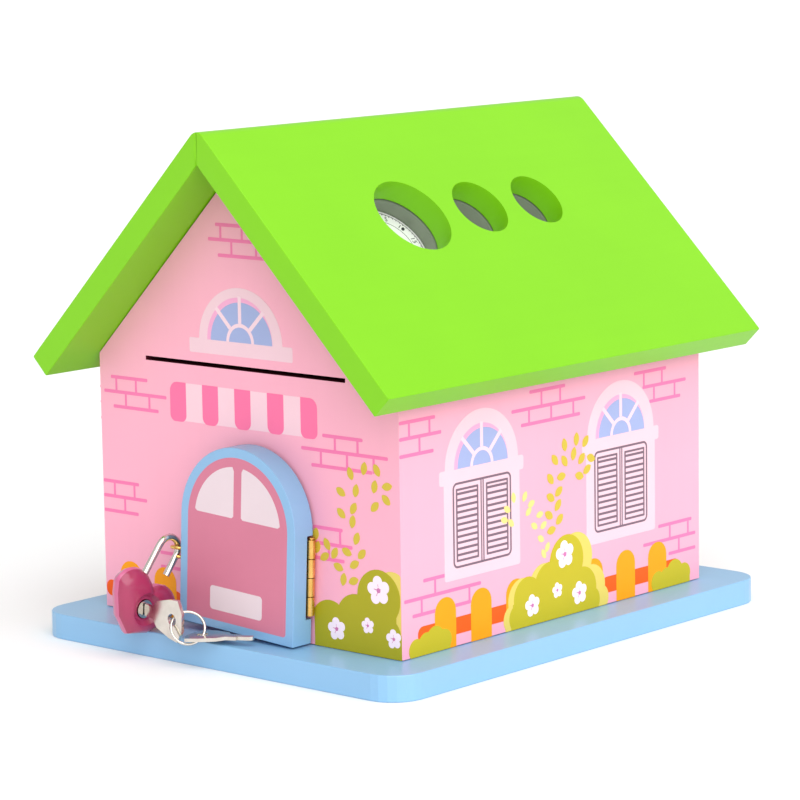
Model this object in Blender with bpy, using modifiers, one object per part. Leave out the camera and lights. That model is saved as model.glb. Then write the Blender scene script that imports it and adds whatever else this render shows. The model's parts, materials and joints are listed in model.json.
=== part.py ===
"""A house-shaped wooden money box with a hinged door, a heart padlock and three sprung coin tubes.

Metres, +Z up. The origin is the middle of the base's underside, the front wall faces -Y and the
coin tubes are in the roof board on the +X side.
"""

import math

import bmesh
import bpy
from mathutils import Euler, Matrix, Vector

for old in list(bpy.data.objects):
    bpy.data.objects.remove(old, do_unlink=True)

# ---------------------------------------------------------------------------------------------
# Driving sizes
# ---------------------------------------------------------------------------------------------
GAP = 0.0003  # between pieces that touch
BOARD = 0.009  # thickness of every wooden board
WALL_WIDTH = 0.140
WALL_DEPTH = 0.164
EAVE_HEIGHT = 0.1003  # where the roof's underside meets a side wall's outer face
ROOF_PITCH = math.radians(45)
ROOF_SLOPE = 0.1176  # from the sharp ridge line down to the eave
ROOF_OVERHANG = 0.0195
RIDGE_ROUND = 0.004
BOARD_ROUND = 0.0012
BASE_SIDE = 0.015  # how far the base reaches past the side walls
BASE_END = 0.0195  # how far it reaches past the front and back walls
BASE_CORNER = 0.012

FRONT_Y = -WALL_DEPTH / 2
BACK_Y = WALL_DEPTH / 2
WALL_FOOT = BOARD + GAP
RIDGE_UNDER = EAVE_HEIGHT + WALL_WIDTH / 2 * math.tan(ROOF_PITCH)
RIDGE_TOP = RIDGE_UNDER + BOARD / math.cos(ROOF_PITCH)

# ---------------------------------------------------------------------------------------------
# Collections, materials and small helpers
# ---------------------------------------------------------------------------------------------
parts = bpy.data.collections.new("wooden_money_box")
cutters = bpy.data.collections.new("cutters")
cutters.hide_render = True
bpy.context.scene.collection.children.link(parts)
bpy.context.scene.collection.children.link(cutters)


def material(name, colour, roughness, metallic=0.0):
    made = bpy.data.materials.new(name)
    made.use_nodes = True
    shader = made.node_tree.nodes["Principled BSDF"]
    shader.inputs["Base Color"].default_value = (*colour, 1.0)
    shader.inputs["Roughness"].default_value = roughness
    shader.inputs["Metallic"].default_value = metallic
    return made


def add_part(name, data, colour, parent=None, place=Matrix()):
    """Puts a mesh or curve in the model, with its own material, placed in its parent's frame."""
    part = bpy.data.objects.new(name, data)
    data.materials.clear()
    data.materials.append(material(name + "_finish", *colour))
    parts.objects.link(part)
    part.parent = parent
    part.matrix_local = place
    return part


def add_cutter(name, data, parent=None, place=Matrix()):
    cutter = bpy.data.objects.new(name, data)
    cutters.objects.link(cutter)
    cutter.display_type = "WIRE"
    cutter.hide_render = True
    cutter.parent = parent
    cutter.matrix_local = place
    return cutter


def empty(name, place, parent=None):
    """A frame that carries pieces: its origin is on the joint's axis when the pieces move."""
    frame = bpy.data.objects.new(name, None)
    parts.objects.link(frame)
    frame.empty_display_size = 0.005
    frame.parent = parent
    frame.matrix_local = place
    return frame


def boolean(part, cutter, operation="DIFFERENCE"):
    modifier = part.modifiers.new(operation.title() + " " + cutter.name, "BOOLEAN")
    modifier.operation = operation
    modifier.solver = "EXACT"
    modifier.object = cutter


def at(x, y, z, turn=(0.0, 0.0, 0.0)):
    """A place and a turn, as a matrix; the turn's angles are in degrees, about X, then Y, then Z."""
    angles = Euler([math.radians(angle) for angle in turn])
    return Matrix.Translation((x, y, z)) @ angles.to_matrix().to_4x4()


UPRIGHT = at(0, 0, 0, (90, 0, 0))  # stands a flat outline up: its x runs right, its y runs up


def box(name, size, centre=(0, 0, 0)):
    """A box's mesh, of this size about this centre."""
    made = bmesh.new()
    bmesh.ops.create_cube(made, size=1.0, matrix=Matrix.Translation(centre) @ Matrix.Diagonal((*size, 1)))
    mesh = bpy.data.meshes.new(name)
    made.to_mesh(mesh)
    made.free()
    return mesh


def rod(name, radius, bottom, top, sides=24, end_radius=None):
    """A cylinder's mesh along Z, or a cone's where it ends at another radius."""
    made = bmesh.new()
    bmesh.ops.create_cone(
        made,
        cap_ends=True,
        segments=sides,
        radius1=radius,
        radius2=radius if end_radius is None else end_radius,
        depth=top - bottom,
        matrix=Matrix.Translation((0, 0, (top + bottom) / 2)),
    )
    mesh = bpy.data.meshes.new(name)
    made.to_mesh(mesh)
    made.free()
    return mesh


def slab(name, outlines, thickness):
    """A flat plate's mesh: the first outline, less the ones after it, centred on its own plane."""
    curve = bpy.data.curves.new(name, "CURVE")
    curve.dimensions = "2D"
    curve.fill_mode = "BOTH"
    curve.extrude = thickness / 2
    for outline in outlines:
        spline = curve.splines.new("POLY")
        spline.points.add(len(outline) - 1)
        for point, (x, y) in zip(spline.points, outline):
            point.co = (x, y, 0, 1)
        spline.use_cyclic_u = True
    return curve_mesh(name, curve)


def curve_mesh(name, curve):
    """The mesh that a curve makes, with its caps welded on."""
    guide = bpy.data.objects.new(name, curve)
    graph = bpy.context.evaluated_depsgraph_get()
    parts.objects.link(guide)
    graph.update()
    mesh = bpy.data.meshes.new_from_object(guide.evaluated_get(graph))
    bpy.data.objects.remove(guide)
    made = bmesh.new()
    made.from_mesh(mesh)
    bmesh.ops.remove_doubles(made, verts=made.verts, dist=1e-6)
    bmesh.ops.recalc_face_normals(made, faces=made.faces)
    made.to_mesh(mesh)
    made.free()
    mesh.name = name
    return mesh


def wire(name, points, radius, cyclic=False):
    """A round wire's mesh along these points."""
    curve = bpy.data.curves.new(name, "CURVE")
    curve.dimensions = "3D"
    curve.bevel_depth = radius
    curve.bevel_resolution = 2
    curve.use_fill_caps = True
    spline = curve.splines.new("POLY")
    spline.points.add(len(points) - 1)
    for point, place in zip(spline.points, points):
        point.co = (*place, 1)
    spline.use_cyclic_u = cyclic
    return curve_mesh(name, curve)


def turned(name, profile, colour, parent=None, place=Matrix(), steps=32):
    """A piece turned about Z from (radius, height) points, which run down its outer side."""
    made = bmesh.new()
    corners = [made.verts.new((radius, 0, height)) for radius, height in profile]
    for above, below in zip(corners, corners[1:]):
        made.edges.new((above, below))
    mesh = bpy.data.meshes.new(name)
    made.to_mesh(mesh)
    made.free()
    part = add_part(name, mesh, colour, parent, place)
    screw = part.modifiers.new("Turn", "SCREW")
    screw.axis = "Z"
    screw.steps = steps
    screw.render_steps = steps
    screw.use_merge_vertices = True
    screw.merge_threshold = 1e-5
    screw.use_smooth_shade = True
    return part


def arc(centre, radius, start, end, steps):
    """Points round an arc, from one angle to another in degrees, both ends included."""
    found = []
    for step in range(steps + 1):
        angle = math.radians(start + (end - start) * step / steps)
        found.append((centre[0] + radius * math.cos(angle), centre[1] + radius * math.sin(angle)))
    return found


def rounded_rectangle(width, height, radius, steps=6):
    x = width / 2 - radius
    y = height / 2 - radius
    corners = [((x, y), 0), ((-x, y), 90), ((-x, -y), 180), ((x, -y), 270)]
    return [point for centre, start in corners for point in arc(centre, radius, start, start + 90, steps)]


def arch(radius, drop, steps=24):
    """A round-topped outline about the arch's centre, with straight sides down to the drop."""
    return arc((0, 0), radius, 0, 180, steps) + [(-radius, -drop), (radius, -drop)]


def round_edges(part, width, segments=2):
    bevel = part.modifiers.new("Rounded edges", "BEVEL")
    bevel.width = width
    bevel.segments = segments
    bevel.limit_method = "ANGLE"
    bevel.angle_limit = math.radians(40)


# Finishes: colour, roughness and metallic value.
WALL_PAINT = ((1.0, 0.56, 0.66), 0.45)
ROOF_PAINT = ((0.32, 0.70, 0.03), 0.4)
BASE_PAINT = ((0.42, 0.68, 0.95), 0.45)
DOOR_PAINT = ((0.36, 0.58, 0.85), 0.45)
LACQUER = ((0.50, 0.04, 0.16), 0.2)
BRASS = ((0.72, 0.50, 0.20), 0.3, 1.0)
NICKEL = ((0.75, 0.72, 0.68), 0.25, 1.0)
STEEL = ((0.55, 0.56, 0.58), 0.35, 1.0)
PLASTIC = ((0.80, 0.80, 0.80), 0.4)
PLUNGER = ((0.9, 0.9, 0.9), 0.4)

# ---------------------------------------------------------------------------------------------
# Base board, and the screws that hold the side walls down to it
# ---------------------------------------------------------------------------------------------
base_width = WALL_WIDTH + 2 * BASE_SIDE
base_depth = WALL_DEPTH + 2 * BASE_END
base_outline = rounded_rectangle(base_width, base_depth, BASE_CORNER)
base_board = add_part(
    "base_board", slab("base_board", [base_outline], BOARD), BASE_PAINT, place=at(0, 0, BOARD / 2)
)
round_edges(base_board, BOARD_ROUND)

SCREW_HEAD = 0.0035
SCREW_SHANK = 0.0015
SCREW_LENGTH = 0.026
SCREW_SINK = 0.0005  # how far the head lies below the underside
SCREW_FROM_MIDDLE = 0.045
SLOT_WIDTH = 0.0009
SLOT_DEPTH = 0.0010

head_depth = SCREW_HEAD - SCREW_SHANK  # a 90 degree countersink
screw_x = WALL_WIDTH / 2 - BOARD / 2
screw_places = [(x, y) for x in (-screw_x, screw_x) for y in (-SCREW_FROM_MIDDLE, SCREW_FROM_MIDDLE)]
screw_holes = []
for number, (x, y) in enumerate(screw_places, start=1):
    screw = turned(
        f"base_screw_{number}",
        [
            (0, SCREW_SINK + SCREW_LENGTH),
            (SCREW_SHANK, SCREW_SINK + SCREW_LENGTH - 2 * SCREW_SHANK),
            (SCREW_SHANK, SCREW_SINK + head_depth),
            (SCREW_HEAD, SCREW_SINK),
            (0, SCREW_SINK),
        ],
        STEEL,
        place=at(x, y, 0),
        steps=16,
    )
    slot = box("driver_slot", (2 * SCREW_HEAD + GAP, SLOT_WIDTH, 2 * SLOT_DEPTH), (0, 0, SCREW_SINK))
    boolean(screw, add_cutter(f"driver_slot_{number}", slot, place=at(x, y, 0)))
    countersink_reach = SCREW_SINK + GAP  # the cone runs this far below the head, through the underside
    countersink = rod(
        "countersink",
        SCREW_HEAD + countersink_reach + GAP,
        SCREW_SINK - countersink_reach,
        SCREW_SINK + head_depth,
        16,
        SCREW_SHANK + GAP,
    )
    boolean(base_board, add_cutter(f"countersink_{number}", countersink, place=at(x, y, 0)))
    hole = rod("screw_hole", SCREW_SHANK + GAP, SCREW_SINK, SCREW_SINK + SCREW_LENGTH + GAP, 16)
    screw_holes.append(add_cutter(f"screw_hole_{number}", hole, place=at(x, y, 0)))
    boolean(base_board, screw_holes[-1])

# ---------------------------------------------------------------------------------------------
# Four walls with mitred corners, cut off under the roof
# ---------------------------------------------------------------------------------------------
wall_top = RIDGE_UNDER + BOARD
roof_side = WALL_WIDTH  # the cutter reaches this far out on each side of the ridge
roof_room = slab(
    "roof_room",
    [
        [
            (0, RIDGE_UNDER - GAP / math.cos(ROOF_PITCH)),
            (roof_side, RIDGE_UNDER - GAP / math.cos(ROOF_PITCH) - roof_side * math.tan(ROOF_PITCH)),
            (roof_side, 2 * RIDGE_TOP),
            (-roof_side, 2 * RIDGE_TOP),
            (-roof_side, RIDGE_UNDER - GAP / math.cos(ROOF_PITCH) - roof_side * math.tan(ROOF_PITCH)),
        ]
    ],
    2 * WALL_DEPTH,
)
roof_cutter = add_cutter("roof_room", roof_room, place=UPRIGHT)


def wall(name, length, place):
    """A board standing on the base, its outer face on local -Y, with a 45 degree mitre at each end."""
    outer = length / 2 - GAP / 2
    outline = [(-outer, 0), (outer, 0), (outer - BOARD, BOARD), (-outer + BOARD, BOARD)]
    mesh = slab(name, [outline], wall_top - WALL_FOOT)
    part = add_part(name, mesh, WALL_PAINT, place=place @ at(0, 0, (wall_top + WALL_FOOT) / 2))
    boolean(part, roof_cutter)
    return part


front_wall = wall("front_wall", WALL_WIDTH, at(0, FRONT_Y, 0))
back_wall = wall("back_wall", WALL_WIDTH, at(0, BACK_Y, 0, (0, 0, 180)))
right_wall = wall("right_wall", WALL_DEPTH, at(WALL_WIDTH / 2, 0, 0, (0, 0, 90)))
left_wall = wall("left_wall", WALL_DEPTH, at(-WALL_WIDTH / 2, 0, 0, (0, 0, -90)))
for side_wall, holes in ((left_wall, screw_holes[:2]), (right_wall, screw_holes[2:])):
    for hole in holes:
        boolean(side_wall, hole)

SLOT_LENGTH = 0.0935
SLOT_HEIGHT = 0.0015
SLOT_Z = 0.1002
slot_box = box("money_slot", (SLOT_LENGTH, 3 * BOARD, SLOT_HEIGHT))
boolean(front_wall, add_cutter("money_slot", slot_box, place=at(0, FRONT_Y, SLOT_Z)))

# ---------------------------------------------------------------------------------------------
# Two roof boards, mitred at the ridge, with three coin holes through the right one
# ---------------------------------------------------------------------------------------------
roof_length = WALL_DEPTH + 2 * ROOF_OVERHANG


def roof_board(name, side):
    """The board on one side of the ridge: 1 is right, -1 is left. Its eave is cut square."""
    down = Vector((math.cos(ROOF_PITCH), -math.sin(ROOF_PITCH)))
    inward = Vector((-math.sin(ROOF_PITCH), -math.cos(ROOF_PITCH)))
    eave = Vector((0, RIDGE_TOP)) + down * ROOF_SLOPE
    mitre = GAP / 2
    ridge_arc = arc((0, RIDGE_TOP - RIDGE_ROUND / math.cos(ROOF_PITCH)), RIDGE_ROUND, 90, 45, 4)
    outline = [(mitre, RIDGE_UNDER - mitre), (mitre, ridge_arc[0][1])] + ridge_arc[1:]
    outline += [tuple(eave), tuple(eave + inward * BOARD)]
    outline = [(side * x, z) for x, z in outline]
    part = add_part(name, slab(name, [outline], roof_length), ROOF_PAINT, place=UPRIGHT)
    edges = part.data.attributes.new("bevel_weight_edge", "FLOAT", "EDGE")
    for edge in part.data.edges:
        ends = [part.data.vertices[index].co for index in edge.vertices]
        at_mitre = all(abs(end.x) < 2 * mitre for end in ends)
        along_ridge = abs(ends[0].z - ends[1].z) > BOARD and abs(ends[0].x) < RIDGE_ROUND
        edges.data[edge.index].value = 0.0 if at_mitre or along_ridge else 1.0
    round_edges(part, BOARD_ROUND)
    part.modifiers["Rounded edges"].limit_method = "WEIGHT"
    return part


roof_left = roof_board("roof_left", -1)
roof_right = roof_board("roof_right", 1)

# ---------------------------------------------------------------------------------------------
# Coin tubes under the right roof board: tube, cap, plunger and spring at each hole
# ---------------------------------------------------------------------------------------------
HOLE_SLOPE = 0.0471  # from the sharp ridge line down to the holes' centres
COIN_HOLES = (("large", 0.0155, -0.0316), ("medium", 0.01155, 0.00405), ("small", 0.0110, 0.0353))
MOUTH_LIP = 0.0005  # how far the tube's mouth stands in from the hole
PLUNGER_CATCH = 0.0004  # how far the plunger's edge reaches under the mouth
TUBE_WALL = 0.0014
FLANGE_REACH = 0.0032
FLANGE_THICK = 0.0018
PLUNGER_DEPTH = 0.0145  # from the roof's top face to the plunger at rest
PLUNGER_TOP = 0.0018
SKIRT_LENGTH = 0.005
SKIRT_WALL = 0.0012
PLUNGER_TRAVEL = 0.022
PLUNGER_SPARE = 0.001  # left under the skirt at full travel
CAP_THICK = 0.0016
CAP_VENT = 0.0025
SPRING_WIRE = 0.00035
SPRING_TURNS = 7

for size, hole_radius, hole_y in COIN_HOLES:
    hole_place = (
        at(0, hole_y, RIDGE_TOP)
        @ Matrix.Rotation(ROOF_PITCH, 4, "Y")
        @ Matrix.Translation((HOLE_SLOPE, 0, 0))
    )
    tube_frame = empty(f"coin_tube_frame_{size}", hole_place)
    hole = rod("coin_hole", hole_radius, -2 * BOARD, BOARD, 48)
    boolean(roof_right, add_cutter(f"coin_hole_{size}", hole, tube_frame))

    mouth = hole_radius - MOUTH_LIP
    plunger_radius = mouth + PLUNGER_CATCH
    bore = plunger_radius + GAP
    outer = bore + TUBE_WALL
    flange = hole_radius + FLANGE_REACH
    seat = -BOARD - GAP
    shoulder = -PLUNGER_DEPTH + GAP
    skirt_foot = -PLUNGER_DEPTH - PLUNGER_TOP - SKIRT_LENGTH
    floor = skirt_foot - PLUNGER_TRAVEL - PLUNGER_SPARE
    tube_foot = floor - CAP_THICK
    turned(
        f"coin_tube_{size}",
        [
            (mouth, seat),
            (flange, seat),
            (flange, seat - FLANGE_THICK),
            (outer, seat - FLANGE_THICK),
            (outer, tube_foot),
            (bore, tube_foot),
            (bore, shoulder),
            (mouth, shoulder),
            (mouth, seat),
        ],
        PLASTIC,
        tube_frame,
    )
    turned(
        f"coin_tube_cap_{size}",
        [
            (CAP_VENT, floor),
            (bore - GAP, floor),
            (bore - GAP, tube_foot - GAP),
            (outer, tube_foot - GAP),
            (outer, tube_foot - GAP - CAP_THICK),
            (CAP_VENT, tube_foot - GAP - CAP_THICK),
            (CAP_VENT, floor),
        ],
        PLASTIC,
        tube_frame,
    )
    plunger_place = at(0, 0, -PLUNGER_DEPTH)
    skirt_inner = plunger_radius - SKIRT_WALL
    turned(
        f"coin_plunger_{size}",
        [
            (0, 0),
            (plunger_radius, 0),
            (plunger_radius, -PLUNGER_TOP - SKIRT_LENGTH),
            (skirt_inner, -PLUNGER_TOP - SKIRT_LENGTH),
            (skirt_inner, -PLUNGER_TOP),
            (0, -PLUNGER_TOP),
        ],
        PLUNGER,
        tube_frame,
        plunger_place,
    )
    coil_radius = skirt_inner - SPRING_WIRE - 3 * GAP
    coil_top = -PLUNGER_DEPTH - PLUNGER_TOP - GAP - SPRING_WIRE
    coil_foot = floor + GAP + SPRING_WIRE
    points_per_turn = 12
    coil = []
    for step in range(SPRING_TURNS * points_per_turn + 1):
        share = step / (SPRING_TURNS * points_per_turn)
        around = 2 * math.pi * step / points_per_turn
        height = coil_foot + (coil_top - coil_foot) * share
        coil.append((coil_radius * math.cos(around), coil_radius * math.sin(around), height))
    spring_name = f"coin_spring_{size}"
    add_part(spring_name, wire(spring_name, coil, SPRING_WIRE), STEEL, tube_frame)

# ---------------------------------------------------------------------------------------------
# Door: an arched board on the front wall, hung a little out of true
# ---------------------------------------------------------------------------------------------
DOOR_X = 0.0053  # the arch's centre
DOOR_Z = 0.0484
DOOR_RADIUS = 0.0266
DOOR_DROP = 0.0374  # from the arch's centre down to the foot
DOOR_LEAN = 3.0  # degrees, top to the right
DOOR_STANDOFF = 0.0010
DOOR_LAP = 0.0095  # how far the door overlaps the opening behind it

HINGE_LENGTH = 0.026
HINGE_DROP = 0.0145  # from the arch's centre down to the hinge's middle
KNUCKLE_RADIUS = 0.0015
KNUCKLES = 4
PIN_RADIUS = 0.0006
LEAF_THICK = 0.0007
LEAF_WIDTH = 0.0078
HINGE_ROOM = 0.0006  # clearance round the knuckles and leaves in the door's recess
PIN_HEAD = 0.0011
PIN_HEAD_THICK = 0.0005
NAIL_RADIUS = 0.0005
NAIL_LENGTH = 0.006
NAIL_HEAD = 0.0011
NAIL_HEAD_THICK = 0.0003
WALL_NAIL_SPREAD = 0.0085
DOOR_NAIL_SPREAD = 0.0040

opening = slab("door_opening", [arch(DOOR_RADIUS - DOOR_LAP, DOOR_DROP - DOOR_LAP)], 3 * BOARD)
boolean(front_wall, add_cutter("door_opening", opening, place=at(DOOR_X, FRONT_Y, DOOR_Z) @ UPRIGHT))

# The hinge's frame: Z along the pin, -Y away from the wall, at the middle of the hinge's length.
hinge_out = GAP + KNUCKLE_RADIUS
to_hinge = Vector((DOOR_RADIUS, -hinge_out, -HINGE_DROP))
hinge_place = at(DOOR_X, FRONT_Y, DOOR_Z, (0, DOOR_LEAN, 0)) @ Matrix.Translation(to_hinge)
hinge = empty("door_hinge_axis", hinge_place)

door_middle = -DOOR_STANDOFF - BOARD / 2
door_in_hinge = Matrix.Translation(-to_hinge) @ at(0, door_middle, 0) @ UPRIGHT
door = add_part(
    "door", slab("door", [arch(DOOR_RADIUS, DOOR_DROP)], BOARD), DOOR_PAINT, hinge, door_in_hinge
)
round_edges(door, BOARD_ROUND)

leaf_out = KNUCKLE_RADIUS - LEAF_THICK / 2  # from the pin to the middle of each leaf
pin_end = HINGE_LENGTH / 2 + GAP
recess_deep = hinge_out + KNUCKLE_RADIUS + HINGE_ROOM
recess_end = pin_end + PIN_HEAD_THICK + HINGE_ROOM
recess = box(
    "hinge_recess",
    (LEAF_WIDTH + HINGE_ROOM + KNUCKLE_RADIUS + HINGE_ROOM, 2 * recess_deep, 2 * recess_end),
    (-(LEAF_WIDTH - KNUCKLE_RADIUS) / 2, hinge_out, 0),
)
boolean(door, add_cutter("hinge_recess", recess, hinge))


def hinge_leaf(name, side, knuckle_offset):
    """A leaf and its share of the knuckles: side is 1 on the wall and -1 on the door."""
    plate = box(
        name,
        (LEAF_WIDTH, LEAF_THICK, HINGE_LENGTH),
        (-LEAF_WIDTH / 2, side * leaf_out, 0),
    )
    leaf = add_part(name, plate, BRASS, hinge)
    knuckle = rod("knuckle", KNUCKLE_RADIUS, -HINGE_LENGTH / 2, HINGE_LENGTH / 2)
    boolean(leaf, add_cutter(name + "_knuckle", knuckle, hinge), "UNION")
    bore = rod("pin_bore", PIN_RADIUS + GAP, -HINGE_LENGTH, HINGE_LENGTH, 16)
    boolean(leaf, add_cutter(name + "_bore", bore, hinge))
    pitch = HINGE_LENGTH / KNUCKLES
    room = KNUCKLE_RADIUS + GAP
    for step in range(1 - knuckle_offset, KNUCKLES, 2):
        bottom = -HINGE_LENGTH / 2 + step * pitch
        notch = box(
            "knuckle_notch",
            (2 * room, 2 * room + HINGE_ROOM, pitch + GAP),
            (0, 0, bottom + pitch / 2),
        )
        boolean(leaf, add_cutter(f"{name}_notch_{step}", notch, hinge))
    return leaf


wall_leaf = hinge_leaf("hinge_wall_leaf", 1, 0)
door_leaf = hinge_leaf("hinge_door_leaf", -1, 1)

turned(
    "hinge_pin",
    [
        (0, pin_end + PIN_HEAD_THICK),
        (PIN_HEAD, pin_end + PIN_HEAD_THICK),
        (PIN_HEAD, pin_end),
        (PIN_RADIUS, pin_end),
        (PIN_RADIUS, -pin_end),
        (0, -pin_end),
    ],
    BRASS,
    hinge,
    steps=16,
)


def hinge_nail(name, leaf, board, side, z):
    """A nail through a leaf into its board: side is 1 into the wall and -1 into the door."""
    leaf_face = leaf_out - LEAF_THICK / 2  # the face under the nail's head, from the pin
    place = at(-LEAF_WIDTH * 0.6, 0, z, (-90 * side, 0, 0))
    head_under = leaf_face - GAP
    profile = [
        (0, head_under + NAIL_LENGTH),
        (NAIL_RADIUS, head_under + NAIL_LENGTH - 2 * NAIL_RADIUS),
        (NAIL_RADIUS, head_under),
        (NAIL_HEAD, head_under),
        (NAIL_HEAD, head_under - NAIL_HEAD_THICK),
        (0, head_under - NAIL_HEAD_THICK),
    ]
    turned(name, profile, BRASS, hinge, place, steps=12)
    hole = rod("nail_hole", NAIL_RADIUS + GAP, 0, head_under + NAIL_LENGTH + GAP, 12)
    cutter = add_cutter(name + "_hole", hole, hinge, place)
    boolean(leaf, cutter)
    boolean(board, cutter)


for number, sign in ((1, -1), (2, 1)):
    hinge_nail(f"hinge_wall_nail_{number}", wall_leaf, front_wall, 1, sign * WALL_NAIL_SPREAD)
    hinge_nail(f"hinge_door_nail_{number}", door_leaf, door, -1, sign * DOOR_NAIL_SPREAD)

# ---------------------------------------------------------------------------------------------
# What the padlock hangs on: a screw eye in the door's edge, over a screw hook in the wall
# ---------------------------------------------------------------------------------------------
EYE_WIRE = 0.00065
EYE_RING = 0.0029  # radius to the middle of the wire
EYE_X = -0.0262
EYE_OUT = 0.0060  # from the wall to the eye's middle
EYE_Z = 0.0364
EYE_TILT = 12.0  # degrees, the eye's front up
HOOK_DROP = 0.0022  # how far the hook lies below the eye
HOOK_TILT = 12.0  # degrees, the hook's left side up
HOOK_END = -66.0  # degrees: the hook's free end, just to the right of its front
SHANK = 0.0080  # how deep each shank goes in

lean_slope = math.tan(math.radians(DOOR_LEAN))
door_edge = DOOR_X - DOOR_RADIUS / math.cos(math.radians(DOOR_LEAN)) - (DOOR_Z - EYE_Z) * lean_slope
eye_place = at(EYE_X, FRONT_Y - EYE_OUT, EYE_Z, (-EYE_TILT, 0, 0))
hook_place = at(EYE_X, FRONT_Y - EYE_OUT, EYE_Z - HOOK_DROP, (0, HOOK_TILT, 0))


def shank_hole(name, board, place, along, length, parent=None):
    """A hole for a shank that leaves the eye's middle along this turn."""
    hole = rod(name, EYE_WIRE + GAP, EYE_RING, length + GAP, 12)
    boolean(board, add_cutter(name, hole, parent, place @ at(0, 0, 0, along)))


eye_length = door_edge - EYE_X + SHANK
eye_ring = [(x, y, 0) for x, y in arc((0, 0), EYE_RING, 35, 335, 20)]
eye_points = eye_ring + [(EYE_RING + 2 * EYE_WIRE, 0, 0), (eye_length, 0, 0)]
eye_in_hinge = hinge_place.inverted() @ eye_place
door_eye = add_part("door_eye", wire("door_eye", eye_points, EYE_WIRE), BRASS, hinge, eye_in_hinge)
shank_hole("door_eye_hole", door, eye_in_hinge, (0, 90, 0), eye_length, hinge)

hook_length = EYE_OUT + SHANK
hook_ring = [(x, y, 0) for x, y in arc((0, 0), EYE_RING, HOOK_END, 75, 10)]
hook_points = hook_ring + [(0, EYE_RING + 2 * EYE_WIRE, 0), (0, hook_length, 0)]
wall_hook = add_part("wall_hook", wire("wall_hook", hook_points, EYE_WIRE), BRASS, place=hook_place)
shank_hole("wall_hook_hole", front_wall, hook_place, (-90, 0, 0), hook_length)

# ---------------------------------------------------------------------------------------------
# Heart padlock. Its frame: -Y out of its face along the core, Z up, the short leg on +X
# ---------------------------------------------------------------------------------------------
LOCK_TURN = 86.0  # degrees, about Z: where the face looks
LOCK_TIP = 6.0  # the face looks down
LOCK_LEAN = 34.0  # the heart's top leans to the wall
LEG_SPREAD = 0.0046  # from the middle to each leg
SHACKLE_WIRE = 0.0012
LEG_AT_EYE = 0.0250  # the eye's height on the short leg, from the core
ARC_HEIGHT = 0.0220  # the bend's centre
SHORT_LEG_END = 0.0142
LONG_LEG_END = -0.0010
SHACKLE_TRAVEL = 0.0040  # from open to closed
LOBE_RADIUS = 0.0082
LOBE_SPREAD = 0.0069
LOBE_HEIGHT = 0.0030
TIP_DROP = 0.0165
HEART_HALF = 0.0047  # half the thickness
CORE_RADIUS = 0.00315
DISH_RADIUS = 0.0060
DISH_DEPTH = 0.0016  # of the shallow dish in the face, round the core
CORE_PROUD = 0.0004  # how far the core stands up in the dish
CORE_BACK = 0.0025
KEY_THICK = 0.0012
KEY_TURN = -36.0  # degrees, from the locked position

lock_place = (
    at(EYE_X, FRONT_Y - EYE_OUT, EYE_Z)
    @ Matrix.Rotation(math.radians(LOCK_TURN), 4, "Z")
    @ Matrix.Rotation(math.radians(LOCK_TIP), 4, "X")
    @ Matrix.Rotation(math.radians(LOCK_LEAN), 4, "Y")
)
shackle_frame = empty("shackle_frame", hinge_place.inverted() @ lock_place, hinge)
lock = empty("padlock_frame", at(-LEG_SPREAD, 0, -LEG_AT_EYE), shackle_frame)
lock_world = lock_place @ at(-LEG_SPREAD, 0, -LEG_AT_EYE)

bend = [(x, 0, z) for x, z in arc((0, ARC_HEIGHT), LEG_SPREAD, 180, 0, 12)]
shackle_points = [(-LEG_SPREAD, 0, LONG_LEG_END)] + bend + [(LEG_SPREAD, 0, SHORT_LEG_END)]
add_part("shackle", wire("shackle", shackle_points, SHACKLE_WIRE), NICKEL, lock)


def heart_outline(scale):
    """Half a lobe and a straight flank down to the tip, on both sides, scaled about the core."""
    tangent = math.degrees(math.atan2(TIP_DROP + LOBE_HEIGHT, LOBE_SPREAD)) - math.degrees(
        math.acos(LOBE_RADIUS / math.hypot(LOBE_SPREAD, TIP_DROP + LOBE_HEIGHT))
    )
    notch = 180 - math.degrees(math.acos(LOBE_SPREAD / LOBE_RADIUS))
    right = arc((LOBE_SPREAD, LOBE_HEIGHT), LOBE_RADIUS, notch - 12, -tangent, 8)
    left = [(-x, z) for x, z in reversed(right)]
    middle = (0, LOBE_HEIGHT + math.sqrt(LOBE_RADIUS**2 - LOBE_SPREAD**2))
    outline = [middle] + right + [(0, -TIP_DROP)] + left
    return [(scale * x, scale * z) for x, z in outline]


def heart(name, half):
    """A domed heart: outlines joined from front to back, then subdivided."""
    made = bmesh.new()
    loops = []
    for y, scale in ((-half, 0.55), (-0.86 * half, 0.86), (0, 1.10), (0.86 * half, 0.86), (half, 0.55)):
        corners = [made.verts.new((x, y, z)) for x, z in heart_outline(scale)]
        loops.append([made.edges.new(pair) for pair in zip(corners, corners[1:] + corners[:1])])
    for front, back in zip(loops, loops[1:]):
        bmesh.ops.bridge_loops(made, edges=front + back)
    bmesh.ops.triangle_fill(made, use_beauty=True, edges=loops[0])
    bmesh.ops.triangle_fill(made, use_beauty=True, edges=loops[-1])
    bmesh.ops.recalc_face_normals(made, faces=made.faces)
    mesh = bpy.data.meshes.new(name)
    made.to_mesh(mesh)
    made.free()
    return mesh


lock_body = add_part("lock_body", heart("lock_body", HEART_HALF), LACQUER, lock)
smooth = lock_body.modifiers.new("Dome", "SUBSURF")
smooth.levels = 1
smooth.render_levels = 1
leg_bore = SHACKLE_WIRE + GAP
leg_top = LOBE_HEIGHT + 2 * LOBE_RADIUS
for name, side, foot in (("long_leg_bore", -1, LONG_LEG_END - SHACKLE_TRAVEL - GAP), ("short_leg_bore", 1, LOBE_HEIGHT)):
    bore_mesh = rod(name, leg_bore, foot, leg_top, 16)
    boolean(lock_body, add_cutter(name, bore_mesh, lock, at(side * LEG_SPREAD, 0, 0)))

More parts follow.
